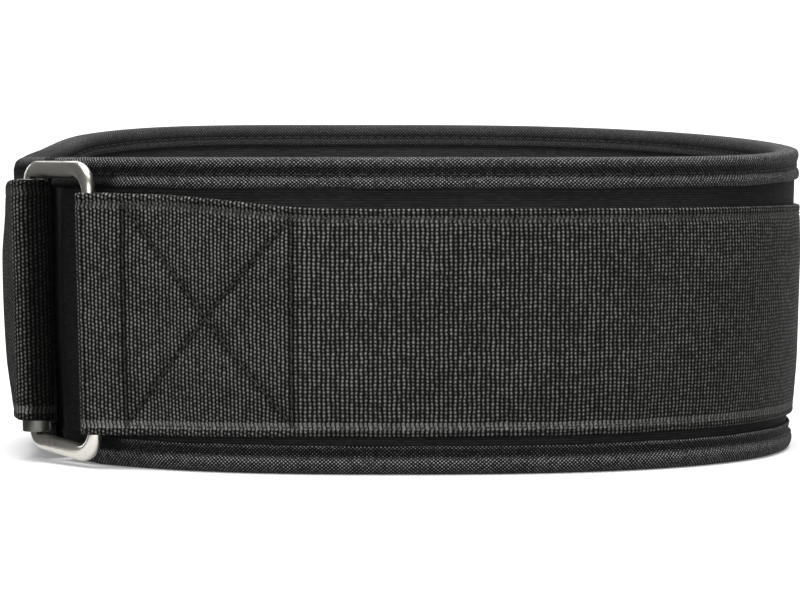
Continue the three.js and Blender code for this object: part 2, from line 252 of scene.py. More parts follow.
def read_table(rows, place):
    """Value of a table of (place, value) rows, eased between its rows."""
    place = np.asarray(place, dtype=float)
    places = np.array([row[0] for row in rows])
    values = np.array([row[1] for row in rows])
    after = np.clip(np.searchsorted(places, place, side="left"), 1, len(rows) - 1)
    share = (place - places[after - 1]) / (places[after] - places[after - 1])
    return mix(values[after - 1], values[after], smooth(share))


class WaistLoop:
    """The closed line that the body's outer face follows in plan."""

    def __init__(self):
        self.angle = np.linspace(0.0, 2 * math.pi, 6001)
        across = np.sin(self.angle)
        right = across > 0
        half_width = np.where(right, HALF_WIDTH["right"], HALF_WIDTH["left"])
        squareness = np.where(right, SQUARENESS["right"], SQUARENESS["left"])
        half_depth = np.where(np.cos(self.angle) > 0, HALF_DEPTH["front"], HALF_DEPTH["back"])
        x = half_width * np.sign(across) * np.abs(across) ** (2 / squareness)
        self.points = np.column_stack([x, -half_depth * np.cos(self.angle)])
        steps = np.linalg.norm(np.diff(self.points, axis=0), axis=1)
        self.walked = np.concatenate([[0.0], np.cumsum(steps)])
        self.length = self.walked[-1]
        self.seam = self.length - SEAM_FROM_FRONT

    def at(self, along):
        """Points, tangents, outward directions and angles, at distances right of the body's seam."""
        target = (self.seam + np.atleast_1d(np.asarray(along, dtype=float))) % self.length
        near = 0.35 * MM

        def point(walked):
            walked = walked % self.length
            return np.column_stack([np.interp(walked, self.walked, self.points[:, i]) for i in (0, 1)])

        tangent = point(target + near) - point(target - near)
        tangent /= np.linalg.norm(tangent, axis=1)[:, None]
        outward = np.column_stack([tangent[:, 1], -tangent[:, 0]])
        return point(target), tangent, outward, np.interp(target, self.walked, self.angle)


loop = WaistLoop()


def rim_height(angle):
    way = (1 - np.cos(angle)) / 2
    left = climb(way, LEFT_RISE_FROM, 1 - LEFT_RISE_FROM)
    sag = climb(way, *LEFT_SAG_STARTS) * (1 - climb(way, *LEFT_SAG_ENDS))
    left = left - LEFT_SAG / BACK_RISE * sag
    return BELT_HEIGHT + BACK_RISE * np.where(np.sin(angle) < 0, left, way**RISE_SHARPNESS)


def end_lift(along):
    """How far the lower rim lifts off the floor, past the buckle at the left."""
    from_seam = (along + loop.length / 2) % loop.length - loop.length / 2
    rise = 1 - np.clip((from_seam + END_LIFT_HIGHEST) / END_LIFT_RUN, 0.0, 1.0)
    return END_LIFT * rise * (1 - climb(-from_seam, *END_LIFT_ENDS))


def wall_swell(height):
    return BODY_BULGE * read_table(WALL_BULGE, height / BELT_HEIGHT)


def wall_lean(height, outward_x):
    left = climb(-outward_x, LEFT_TAPER_FROM, 1 - LEFT_TAPER_FROM)
    return -(WALL_TAPER + LEFT_TAPER * left) * (1 - height / BELT_HEIGHT)


def raise_wall(plan, side, outward, out, height, share=1.0):
    """Points in space of rows that stand out from a plan line by out, with the wall's own form."""
    push = wall_lean(height, outward[:, :1]) + share * wall_swell(height)
    flat = plan[:, None, :] + side[:, None, :] * out[..., None] + outward[:, None, :] * push[..., None]
    return np.concatenate([flat, height[..., None]], axis=2) + loop_place


def find_place():
    """Shift from the loop's own centre to the CAD model's, read from the CAD body's box."""
    plan, _, outward, _ = loop.at(np.linspace(END_GAP / 2, loop.length - END_GAP / 2, 721))
    height = np.tile(np.linspace(0.02, 1.0, 40) * BELT_HEIGHT, (len(plan), 1))
    points = raise_wall(plan, outward, outward, np.zeros_like(height), height)
    low, high = (Vector(corner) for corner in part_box("belt_body"))
    own = (points.reshape(-1, 3).min(axis=0) + points.reshape(-1, 3).max(axis=0)) / 2
    return np.array([(low.x + high.x) / 2 - own[0], (low.y + high.y) / 2 - own[1], 0.0])


loop_place = np.zeros(3)
loop_place = find_place()

frame_seat, frame_along, frame_out, _ = (part[0] for part in loop.at(FRAME_ALONG))
frame_centre = frame_seat + frame_out * FRAME_STAND_OFF
loop_bar = frame_centre + frame_along * BAR_SPACING / 2
roller_bar = frame_centre - frame_along * BAR_SPACING / 2
loop_bar_along = FRAME_ALONG + BAR_SPACING / 2
roller_bar_along = FRAME_ALONG - BAR_SPACING / 2
under_end = loop_bar_along + UNDER_LAYER_LENGTH
first_layer = GAP + STRAP_THICKNESS / 2
second_layer = first_layer + STRAP_THICKNESS + GAP
loop_turn_radius = (
    math.hypot(BAR_WIDTH, FRAME_THICKNESS) / 2 - FRAME_BEVEL * 0.35 + GAP + STRAP_THICKNESS / 2
)
roller_turn_radius = ROLLER_RADIUS + GAP + STRAP_THICKNESS / 2


def edge_at(along, which):
    """Height of the webbing's low or high edge. The far half of the loop counts from the roller."""
    place = np.where(along > loop.length / 2, along - loop.length, along)
    on_tail = place < FRAME_ALONG
    away = np.where(on_tail, roller_bar_along - place, place - loop_bar_along) / EDGE_SETTLE
    away = np.maximum(away, 0.0)
    tail = read_table(TAIL_HIGH if which == "high" else TAIL_LOW, away)
    near = read_table(LOOP_HIGH if which == "high" else LOOP_LOW, away)
    return STRAP_MID + STRAP_WIDTH * np.where(on_tail, tail, near)


opening_top = float(edge_at(np.array(roller_bar_along), "high")) + FRAME_CLEAR_TOP
opening_bottom = float(edge_at(np.array(loop_bar_along), "low")) - FRAME_CLEAR_BOTTOM


def ripple(place, length, seed, amount):
    """Gentle unevenness along a piece, the same each time."""
    random = np.random.default_rng(seed)
    total = np.zeros_like(place)
    for share in (1.0, 0.53, 0.31, 0.17):
        total = total + share * np.sin(2 * math.pi * (place / (length * share) + random.random()))
    return amount * total / 2.0


def smooth_line(points, count):
    """Points spaced evenly on a smooth line through the given ones."""
    points = np.array(points, dtype=float)
    padded = np.vstack([2 * points[0] - points[1], points, 2 * points[-1] - points[-2]])
    fine = []
    for i in range(1, len(padded) - 2):
        before, start, end, after = padded[i - 1 : i + 3]
        for t in np.linspace(0.0, 1.0, 12, endpoint=False):
            point = 2 * start + (end - before) * t
            point = point + (2 * before - 5 * start + 4 * end - after) * t**2
            fine.append(0.5 * (point + (3 * start - before - 3 * end + after) * t**3))
    fine.append(points[-1])
    fine = np.array(fine)
    walked = np.concatenate([[0.0], np.cumsum(np.linalg.norm(np.diff(fine, axis=0), axis=1))])
    even = np.linspace(0.0, walked[-1], count)
    return np.column_stack([np.interp(even, walked, fine[:, i]) for i in range(points.shape[1])])


class Ribbon:
    """Webbing along a row of places. Its face is +1 where the seen side is on the right of its way."""

    def __init__(self, places, face):
        plan = np.array([place[0] for place in places])
        firm = np.array([place[5] for place in places])
        for _ in range(8):
            eased = plan.copy()
            eased[1:-1] = (plan[:-2] + 2 * plan[1:-1] + plan[2:]) / 4
            plan = np.where(firm[:, None], plan, eased)
        self.plan = plan
        self.outward = np.array([place[1] for place in places])
        self.share = np.array([place[2] for place in places])
        self.low = np.array([place[3] for place in places])
        self.high = np.array([place[4] for place in places])
        steps = np.linalg.norm(np.diff(plan, axis=0), axis=1)
        self.walked = np.concatenate([[0.0], np.cumsum(steps)])
        way = np.gradient(plan, axis=0)
        way /= np.linalg.norm(way, axis=1)[:, None]
        self.side = np.column_stack([way[:, 1], -way[:, 0]]) * face
        self.width = STRAP_WIDTH

    def points(self, walked, across, out):
        """Points in space at distances walked, with shares across and distances out of the face."""
        walked = np.asarray(walked, dtype=float)

        def read(column):
            return np.interp(walked, self.walked, column)

        def read_flat(columns):
            return np.column_stack([read(columns[:, 0]), read(columns[:, 1])])

        height = mix(read(self.low)[:, None], read(self.high)[:, None], across)
        share = read(self.share)[:, None]
        return raise_wall(
            read_flat(self.plan), read_flat(self.side), read_flat(self.outward), out, height, share
        )


def turn_places(bar, radius, side, arrive, leave, inner_along, outer_along, steps=22):
    """Places of webbing that turns round a bar from its inner to its outer side."""
    places = []
    for i in range(steps + 1):
        share = i / steps
        angle = mix(arrive - math.pi / 2, leave + math.pi / 2, share)
        plan = bar - frame_along * (side * radius * math.cos(angle))
        plan = plan + frame_out * (radius * math.sin(angle))
        place = np.array(mix(inner_along, outer_along, float(smooth(share * 3))))
        low, high = float(edge_at(place, "low")), float(edge_at(place, "high"))
        places.append((plan, frame_out, 0.0, low, high, True))
    return places


def run_places(start, end, out_at, swell_at, edge_shift=0.0, step=2.2 * MM):
    """Places of webbing that follows the wall from one distance along it to another."""
    count = max(round(abs(end - start) / step), 1)
    places = []
    for along in np.linspace(start, end, count + 1):
        point, _, outward, _ = (part[0] for part in loop.at(along))
        low = float(edge_at(np.array(along + edge_shift), "low"))
        high = float(edge_at(np.array(along + edge_shift), "high"))
        places.append((point + outward * out_at(along), outward, swell_at(along), low, high, False))
    return places


def stand_off(bar, along):
    point, _, outward, _ = (part[0] for part in loop.at(along))
    return float((bar - point) @ outward)


def support_ribbon():
    bar_out = stand_off(loop_bar, loop_bar_along)
    box_along = loop_bar_along + BOX_FROM_BAR
    step_from = under_end + STRAP_THICKNESS
    under_bar = bar_out - loop_turn_radius / math.cos(LOOP_ARRIVE)
    over_bar = bar_out + loop_turn_radius / math.cos(LOOP_LEAVE)

    def towards_bar(along):
        return float(np.clip((box_along - along) / BOX_FROM_BAR, 0.0, 1.0))

    def swell(along):
        return 1 - float(smooth(towards_bar(along)))

    def under_out(along):
        return mix(first_layer, under_bar, towards_bar(along))

    def over_out(along):
        single = float(climb(along, step_from, LAYER_STEP))
        return mix(mix(second_layer, first_layer, single), over_bar, towards_bar(along))

    return Ribbon(
        run_places(under_end, loop_bar_along + TURN_CLEAR / 2, under_out, swell)
        + turn_places(
            loop_bar, loop_turn_radius, 1, LOOP_ARRIVE, LOOP_LEAVE, loop_bar_along, loop_bar_along
        )
        + run_places(loop_bar_along + TURN_CLEAR, loop.length - TAIL_JOIN, over_out, swell),
        face=1,
    )


def tail_ribbon():
    bar_out = stand_off(roller_bar, roller_bar_along)
    settled = roller_bar_along - TAIL_SETTLE
    under_roller = bar_out - roller_turn_radius / math.cos(ROLLER_ARRIVE)
    over_roller = bar_out + roller_turn_radius / math.cos(ROLLER_LEAVE)

    def towards_roller(along):
        return float(np.clip((along - settled) / TAIL_SETTLE, 0.0, 1.0))

    def over_swell(along):
        return TAIL_SWELL * (1 - float(smooth(towards_roller(along))))

    def under_out(along):
        return mix(first_layer, under_roller, towards_roller(along))

    def over_out(along):
        return mix(second_layer, over_roller, towards_roller(along))

    return Ribbon(
        run_places(
            GAP - TAIL_JOIN, roller_bar_along - TURN_CLEAR / 2, under_out, lambda along: 1.0, -TAIL_SETTLE
        )
        + turn_places(
            roller_bar, roller_turn_radius, -1, ROLLER_ARRIVE, ROLLER_LEAVE, settled, roller_bar_along
        )
        + run_places(roller_bar_along - TURN_CLEAR, roller_bar_along - TAIL_FOLD, over_out, over_swell),
        face=-1,
    )


def in_frame(points):
    """Points drawn as (towards the loop's bar, up, outwards) from the buckle's centre, in space."""
    points = np.asarray(points, dtype=float)
    plan = frame_centre + np.outer(points[:, 0], frame_along) + np.outer(points[:, 2], frame_out)
    plan = plan + np.outer(wall_lean(points[:, 1], frame_out[0]), frame_out)
    return np.column_stack([plan, points[:, 1]]) + loop_place


# Meshes

def skin(name, points, texture, closed_along=False):
    """Closed mesh through rows of points. Each row goes round a section, and texture has one more
    column than points, for the seam. A row that isn't closed along gets a face at each end."""
    rows, count = points.shape[:2]
    faces, corners = [], []
    last = rows if closed_along else rows - 1
    for i in range(last):
        after = (i + 1) % rows
        for j in range(count):
            beside = (j + 1) % count
            faces.append((i * count + j, after * count + j, after * count + beside, i * count + beside))
            corners += [texture[i, j], texture[i + 1, j], texture[i + 1, j + 1], texture[i, j + 1]]
    if not closed_along:
        for i in (0, rows - 1):
            order = range(count) if i == 0 else range(count - 1, -1, -1)
            faces.append(tuple(i * count + j for j in order))
            corners += [texture[i, j] for j in order]
    mesh = bpy.data.meshes.new(name)
    mesh.from_pydata(points.reshape(-1, 3).tolist(), [], faces)
    layer = mesh.uv_layers.new(name=FABRIC_UV)
    layer.data.foreach_set("uv", np.array(corners, dtype=np.float32).ravel())
    work = bmesh.new()
    work.from_mesh(mesh)
    bmesh.ops.recalc_face_normals(work, faces=work.faces)
    work.to_mesh(mesh)
    work.free()
    mesh.shade_smooth()
    made = bpy.data.objects.new(name, mesh)
    bpy.context.collection.objects.link(made)
    return made


def note_painted_shade(piece, values):
    """Stores painted shade at each point, for its material: above 0 it darkens, below 0 it lightens."""
    held = piece.data.attributes.new("painted_shade", "FLOAT", "POINT")
    held.data.foreach_set("value", values.astype(np.float32).ravel())


def finish_piece(piece, slot, *materials):
    """Gives a piece its materials and its body. The slot is not used."""
    piece.data.materials.clear()
    for material in materials:
        piece.data.materials.append(material)
    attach(piece, BODY)


def cloth_map(along, points, closed_along=False):
    """Distances along and round a piece at each point, with one more column for the seam."""
    closed = np.concatenate([points, points[:, :1]], axis=1)
    steps = np.linalg.norm(np.diff(closed, axis=1), axis=2)
    across = np.concatenate([np.zeros((len(points), 1)), np.cumsum(steps, axis=1)], axis=1)
    if closed_along:
        across = np.vstack([across, across[:1]])
    return np.dstack([np.tile(along[:, None], (1, across.shape[1])), across])


def binding_section(outer):
    """Section of a binding, out from the body's face and down from the rim: its outer fold, its
    crown, its inner fold and the channel for the body."""
    outside = smooth_line(outer, OUTSIDE_POINTS) * MM
    inside = smooth_line(INNER_SIDE, INSIDE_POINTS) * MM
    back = -BODY_THICKNESS - GAP
    face_out = GAP + outside[:, 0]
    back_out = back - inside[:, 0]
    crown_out = np.linspace(face_out[-1], back_out[0], CROWN_POINTS + 2)[1:-1]
    crown_drop = CROWN_HOLLOW * np.linspace(-1, 1, CROWN_POINTS) ** 2
    channel_drop = [CHANNEL_DEPTH, BINDING_CROWN, BINDING_CROWN, CHANNEL_DEPTH]
    out = np.concatenate([face_out, crown_out, back_out, [back, back, GAP, GAP]])
    return out, np.concatenate([outside[:, 1], crown_drop, inside[:, 1], channel_drop])


def binding_shade(drop_mm, up, outer_share):
    """Painted shade round a binding's section, darker in the valleys between its folds. Below 0 it is
    painted light, on the top of the lower binding's roll and on its free edge.
    """
    if up:
        hollow = climb(drop_mm, 2.6, 0.8) * (1 - climb(drop_mm, 5.9, 0.7))
    else:
        # Painted highlight where top light falls, on the free edge and the top of the roll
        painted_highlight = 1.7 * climb(drop_mm, 8.7, 0.4)
        painted_highlight = painted_highlight + climb(drop_mm, 3.6, 0.4) * (1 - climb(drop_mm, 4.8, 0.5))
        hollow = climb(drop_mm, 5.4, 0.8) * (1 - climb(drop_mm, 8.1, 0.7)) - 0.65 * painted_highlight
    inner_hollow = 0.7 * climb(drop_mm, 3.6, 0.7) * (1 - climb(drop_mm, 5.4, 0.7))
    return np.where(outer_share > 0, hollow, inner_hollow)


def binding_mesh(name, outer, up, sizes, seed):
    """Binding round a rim. It is drawn taut past the buckle, and lies flatter at the right end."""
    out, drop = binding_section(outer)
    outer_share = np.zeros_like(out)
    outer_share[1 : OUTSIDE_POINTS - 1] = 1.0
    along = np.linspace(END_GAP / 2, loop.length - END_GAP / 2, BINDING_STATIONS)
    plan, _, outward, angle = loop.at(along)
    from_left = along - along[np.argmin(plan[:, 0])]
    from_left = (from_left + loop.length / 2) % loop.length - loop.length / 2
    turned = (climb(from_left, *TAUT_COMES) * (1 - climb(from_left, *TAUT_GOES)))[:, None]
    from_right = np.linalg.norm(plan - plan[np.argmax(plan[:, 0])], axis=1)
    right = smooth(np.clip(1 - from_right / FLAT_REACH, 0, 1) * 1.4)
    right = (right * FLAT_SHARE[up])[:, None]
    taut = GAP + TAUT_SWELL[up] * np.sqrt(np.clip(drop / TAUT_ROUNDING, 0.0, 1.0))
    taut = np.maximum(out, taut) if up else np.minimum(out, taut)
    drawn = np.where((drop > TAUT_FROM_RIM) & (outer_share > 0), 1.0, 0.0) * turned

    loose = np.clip(drop / BINDING_COVER, 0.0, 1.0)
    wave = ripple(along, WAVE_LENGTH, seed, sizes.binding_unevenness)[:, None]
    tuck = np.cos(2 * math.pi * along / (sizes.stitch_length + sizes.stitch_gap))[:, None]
    tuck = TUCK_DEPTH * tuck * pull_in(drop - TUCK_PLACE, TUCK_WIDTH)
    outs = out[None, :] + drawn * (taut - out)[None, :]
    outs = outs - outer_share * right * np.maximum(outs - GAP, 0.0)
    outs = outs + outer_share * (wave * (0.35 + loose) + tuck) * (1 - drawn * 0.7)
    drops = drop[None, :] + outer_share * np.where(loose > HEM_SHARE, 1.0, 0.0) * wave * 1.6
    heights = rim_height(angle)[:, None] - drops if up else drops + end_lift(along)[:, None]
    points = raise_wall(plan, outward, outward, outs, heights)
    made = skin(name, points, cloth_map(along, points))

    # Painted shade: the taut part past the buckle is drawn dark, its low rows darker behind the buckle
    behind = 1 - climb(along, loop_bar_along, SHADE_AT_BAR)
    behind = np.where(along > loop.length / 2, smooth(from_left / SHADE_AT_LEFT), behind)[:, None]
    shade = binding_shade(drop / MM, up, outer_share)
    seen = mix(shade[None, :], 0.8 + 0.45 * outer_share[None, :], turned)
    low_rows = (drop > SHADE_BELOW) & (outer_share > 0)
    note_painted_shade(made, np.where(low_rows, mix(seen, 1.3, behind), seen))
    return made


def ribbon_mesh(name, ribbon, relief, painted_shade, fine=None):
    """Webbing with rounded selvedges. relief gives how far its seen face stands off the plain one, the
    form after it gives the painted shade on that face, and fine is a stretch of its length with closer
    rows of points."""
    edge = np.array([0.04, 0.3, 0.8, 1.5, 2.2, 2.8, 3.4, 4.4]) * MM / ribbon.width
    middle = np.linspace(edge[-1], 1 - edge[-1], WEBBING_ROWS)[1:-1]
    across = np.concatenate([edge, middle, 1 - edge[::-1]])
    from_edge = np.minimum(across, 1 - across) * ribbon.width
    half = STRAP_THICKNESS / 2 * np.sqrt(1 - np.clip(1 - from_edge / SELVEDGE, 0.0, 1.0) ** 2)
    walked = ribbon.walked
    if fine:
        keep = (walked < fine[0]) | (walked > fine[1])
        walked = np.sort(np.concatenate([walked[keep], np.arange(fine[0], fine[1], FINE_STEP)]))
    ends = np.clip(np.minimum(walked, walked[-1] - walked) / FINE_STEP, 0.0, 1.0)
    ends = 0.35 + 0.65 * np.sqrt(1 - (1 - ends) ** 2)
    rows = np.tile(across, (len(walked), 1))
    front = ribbon.points(walked, rows, half[None, :] * ends[:, None] + relief(walked[:, None], rows))
    back = ribbon.points(walked, rows[:, ::-1], -half[None, ::-1] * ends[:, None])
    points = np.concatenate([front, back], axis=1)
    v = np.concatenate([across, across[::-1], across[:1]]) * ribbon.width
    texture = np.dstack([np.tile(walked[:, None], (1, len(v))), np.tile(v, (len(walked), 1))])
    made = skin(name, points, texture)
    seen = painted_shade(walked[:, None], rows)
    note_painted_shade(made, np.concatenate([seen, np.zeros_like(seen)], axis=1))
    return made


def frame_line(inset, low, high, left_radius, right_radius):
    """Rounded outline of the buckle's frame, with as many points for any two sets of its sizes."""
    left = -BAR_SPACING / 2 + inset
    right = BAR_SPACING / 2 - inset
    corners = [
        (right - right_radius, low + right_radius, right_radius, -math.pi / 2),
        (right - right_radius, high - right_radius, right_radius, 0.0),
        (left + left_radius, high - left_radius, left_radius, math.pi / 2),
        (left + left_radius, low + RAIL_RISE + left_radius, left_radius, math.pi),
    ]
    line = []
    for x, y, radius, start in corners:
        for i in range(CORNER_STEPS + 1):
            angle = start + i / CORNER_STEPS * math.pi / 2
            line.append((x + radius * math.cos(angle), y + radius * math.sin(angle)))
    return np.array(line)


# Materials

def binary(operation, reflected=False):
    """Method that joins two values by a Math node."""
    if reflected:
        return lambda wire, other: wire.math(operation, other, wire)
    return lambda wire, other: wire.math(operation, wire, other)


class Wire:
    """A socket of a material's tree. Arithmetic on it adds Math nodes."""

    def __init__(self, finish, socket):
        self.finish = finish
        self.socket = socket

    def math(self, operation, *values):
        return self.finish.add("ShaderNodeMath", {"operation": operation}, dict(enumerate(values)))

    __add__ = __radd__ = binary("ADD")
    __mul__ = __rmul__ = binary("MULTIPLY")
    __sub__ = binary("SUBTRACT")
    __rsub__ = binary("SUBTRACT", reflected=True)
    __truediv__ = binary("DIVIDE")
    __rtruediv__ = binary("DIVIDE", reflected=True)
    __pow__ = binary("POWER")
    __mod__ = binary("FLOORED_MODULO")
    least = binary("MINIMUM")

    def floor(self):
        return self.math("FLOOR", self)

    def ridge(self):
        """1 in the middle of each unit and 0 at its ends."""
        off = self.math("FRACT", self) - 0.5
        return 1.0 - off * off * 4.0


class Finish:
    """A material, and the one method that adds a node of any type to it."""

    def __init__(self, name):
        self.material = bpy.data.materials.new(name)
        self.material.use_nodes = True
        self.tree = self.material.node_tree
        self.tree.nodes.clear()

    def add(self, kind, settings=None, sockets=None, output=0):
        node = self.tree.nodes.new(kind)
        for key, value in (settings or {}).items():
            setattr(node, key, value)
        for key, value in (sockets or {}).items():
            if isinstance(value, Wire):
                self.tree.links.new(value.socket, node.inputs[key])
            else:
                node.inputs[key].default_value = value
        return Wire(self, node.outputs[output]) if len(node.outputs) else None

    def blend(self, share, first, second):
        """Mix of two colours."""
        return self.add("ShaderNodeMix", {"data_type": "RGBA"}, {0: share, 6: first, 7: second}, 2)

    def between(self, value, low, high):
        """Smooth step from 0 at low to 1 at high."""
        return self.add(
            "ShaderNodeMapRange",
            {"interpolation_type": "SMOOTHSTEP"},
            {"Value": value, "From Min": low, "From Max": high},
        )

    def band(self, value, rise, fall):
        """1 between two eased edges and 0 outside them."""
        return self.between(value, *rise) * (1.0 - self.between(value, *fall))

    def noise(self, vector, scale, detail=2.0):
        given = {"Vector": vector, "Scale": scale, "Detail": detail}
        return self.add("ShaderNodeTexNoise", None, given, "Fac")

    def bump(self, strength, distance, height):
        given = {"Strength": strength, "Distance": distance, "Height": height}
        return self.add("ShaderNodeBump", None, given)

    def object_place(self):
        return self.add("ShaderNodeTexCoord", None, None, "Object")

    def fabric_place(self):
        """Distances along and across the cloth, in metres."""
        place = self.add("ShaderNodeUVMap", {"uv_map": FABRIC_UV})
        along = self.add("ShaderNodeSeparateXYZ", None, {0: place}, 0)
        return along, Wire(self, along.socket.node.outputs[1])

    def painted_shade(self):
        """Painted shade that darkens the cloth in seams, folds and gaps. Below 0 it is painted light,
        on lit folds and on the lining.
        """
        return self.add("ShaderNodeAttribute", {"attribute_name": "painted_shade"}, None, "Fac")

    def pair(self, x, y):
        return self.add("ShaderNodeCombineXYZ", None, {0: x, 1: y})

    def random(self, x, y):
        """A number for each cell of a pattern."""
        return self.add("ShaderNodeTexWhiteNoise", {"noise_dimensions": "2D"}, {0: self.pair(x, y)})

    def surface(self, constants, **varying):
        """Principled surface: constants by socket name, and the sockets that vary over it."""
        sockets = dict(constants)
        sockets.update({key.replace("_", " "): value for key, value in varying.items()})
        shader = self.add("ShaderNodeBsdfPrincipled", None, sockets)
        self.add("ShaderNodeOutputMaterial", None, {0: shader})
        return self.material


def colour(value):
    return (value[0], value[1], value[2], 1.0)


def webbing_finish(sizes, colours, box_end):
    """Dense ribbed webbing: light ribs across it with a knuckle at every row, and dark pits between.
    A slanted seam runs inside each selvedge."""
    finish = Finish("charcoal webbing")
    along, across = finish.fabric_place()
    place = finish.pair(along, across)
    wander = finish.noise(place, 260.0) - 0.5
    drift = finish.noise(finish.pair(along, across + 0.31), 60.0) - 0.5
    boxed = 1.0 - finish.between(along, box_end - 0.0002, box_end + 0.0002)
    from_edge = across.least(STRAP_WIDTH - across)
    seam = finish.band(from_edge, *SEAM_BAND)
    slant = (from_edge - 0.0034) * seam * 0.22
    ribs = (along + along.least(box_end) * 0.15 + slant + wander * 0.0009) / sizes.webbing_rib
    rows = (across + drift * 0.0016) / sizes.webbing_knuckle
    rows = rows + (ribs.floor() % 3.0) * boxed * 0.333 + (ribs.floor() % 2.0) * 0.1
    rib = ribs.ridge()
    row = rows.ridge()
    bright = 0.5 + finish.random(ribs.floor(), rows.floor()) * 0.9
    cell = rib**5.0 * (0.14 + 0.86 * row**2.8) * bright + (1.0 - rib) * row * 0.035
    low = 1.0 - finish.between(across, STRAP_WIDTH * 0.4, STRAP_WIDTH * 0.6)
    dash = rib**2.2 * (0.55 + 0.45 * row) * (0.45 + 0.4 * finish.random(ribs.floor(), 3.0))
    dash = dash * (0.85 + low * 1.3)
    # Painted shade: the groove inside each selvedge is drawn darker
    groove = finish.band(from_edge, *GROOVE_BAND)
    faded = finish.noise(finish.pair(along, across * 1.6), 38.0, 4.0)
    shown = (cell * (1.0 - seam) + dash * seam) * (0.6 + faded * 0.8) * (1.0 - groove * 0.4)
    # Painted shade: the webbing is drawn darker from 0.26 to 0.32 m along onward, on the belt's right
    turned = finish.between(along, 0.26, 0.32) * 0.16
    shown = shown * (0.95 - turned) * (1.0 - finish.painted_shade() * 0.75)
    base = finish.blend(shown * 1.3, colour(colours.webbing_gap), colour(colours.webbing_yarn))
    relief = rib * (0.6 + 0.4 * row) * (1.0 - groove * 0.3)
    constants = {"Roughness": 0.65, "Specular IOR Level": 0.04}
    return finish.surface(constants, Base_Color=base, Normal=finish.bump(0.8, 0.4 * MM, relief))


def canvas_finish(sizes, colours):
    """Plain canvas cut on the bias, so that its threads cross the binding at a slant."""
    finish = Finish("binding canvas")
    along, across = finish.fabric_place()
    wander = finish.noise(finish.pair(along, across), 130.0, 2.0) - 0.5
    pitch = sizes.canvas_thread * math.sqrt(2)
    first = (along + across * 1.05 + wander * 0.0006) / pitch
    second = (along - across * 1.05 + wander * 0.0006) / pitch
    knot = first.ridge() * second.ridge()
    chance = finish.random(first.floor(), second.floor())
    inner = finish.between(across, 0.0155, 0.0175)
    shown = knot**3.6 * (0.5 + chance * 1.2)
    shown = shown * (1.0 - inner * 0.72) + inner * 0.075
    faded = finish.noise(finish.pair(along, across * 2.0), 45.0, 4.0)
    # Painted shade darkens the canvas; below 0 it is painted light that lightens it
    shown = shown * (0.7 + faded * 0.6) * (1.0 - finish.painted_shade() * 0.7)
    base = finish.blend(shown, colour(colours.canvas_gap), colour(colours.canvas_thread))
    constants = {"Roughness": 0.68, "Specular IOR Level": 0.08}
    return finish.surface(constants, Base_Color=base, Normal=finish.bump(0.6, 0.3 * MM, knot))


def body_finish(sizes, colours):
    """Close knitted cover of the padding, with fine ribs along the belt."""
    finish = Finish("body cover")
    along, across = finish.fabric_place()
    wander = finish.noise(finish.pair(along, across), 90.0, 3.0) - 0.5
    row = (across + wander * 0.0007) / sizes.body_rib
    rib = row.ridge()
    chance = finish.random((along / 0.0021).floor(), row.floor())
    cloudy = finish.noise(finish.pair(along, across), 30.0, 4.0)
    # Painted shade: near black in the gap behind the buckle; below 0, painted light on the lining
    shown = (rib * (0.25 + chance * 0.35) + cloudy * 0.3) * (1.0 - finish.painted_shade() * 0.5)
    base = finish.blend(shown, colour(colours.body_dark), colour(colours.body_light))
    base = finish.blend(finish.painted_shade(), base, (0.0003, 0.0003, 0.0003, 1.0))
    normal = finish.bump(0.5, 0.2 * MM, rib * 0.7 + chance * 0.3)
    return finish.surface({"Roughness": 0.8, "Specular IOR Level": 0.06}, Base_Color=base, Normal=normal)


def thread_finish(name, shade):
    """Twisted sewing thread."""
    finish = Finish(name)
    place = finish.object_place()
    speckle = finish.noise(place, 900.0, 2.0)
    base = finish.blend(speckle, colour([part * 0.45 for part in shade]), colour(shade))
    constants = {"Roughness": 0.6, "Specular IOR Level": 0.35}
    return finish.surface(constants, Base_Color=base, Normal=finish.bump(0.4, 0.2 * MM, speckle))


def metal_finish(name, shade, roughness):
    """Satin plated metal, with fine handling marks and faint casting waviness."""
    finish = Finish(name)
    place = finish.object_place()
    waves = finish.noise(place, 120.0, 3.0)
    long = finish.add("ShaderNodeMapping", None, {"Vector": place, "Scale": (1.0, 1.0, 0.12)})
    scratches = finish.noise(long, 1400.0, 4.0)
    base = finish.blend(waves, colour([part * 0.86 for part in shade]), colour(shade))
    rough = roughness - 0.05 + waves * 0.08 + scratches * 0.08
    normal = finish.bump(0.04, 0.2 * MM, waves * 0.8 + scratches * 0.2)
    return finish.surface({"Metallic": 1.0}, Base_Color=base, Roughness=rough, Normal=normal)


def floor_finish(shade):
    finish = Finish("studio paper")
    place = finish.object_place()
    grain = finish.noise(place, 300.0, 2.0)
    base = finish.blend(grain, colour([part * 0.985 for part in shade]), colour(shade))
    constants = {"Roughness": 0.9, "Specular IOR Level": 0.1}
    constants.update({"Emission Color": colour(shade), "Emission Strength": PAPER_GLOW})
    return finish.surface(constants, Base_Color=base)


# Stitches

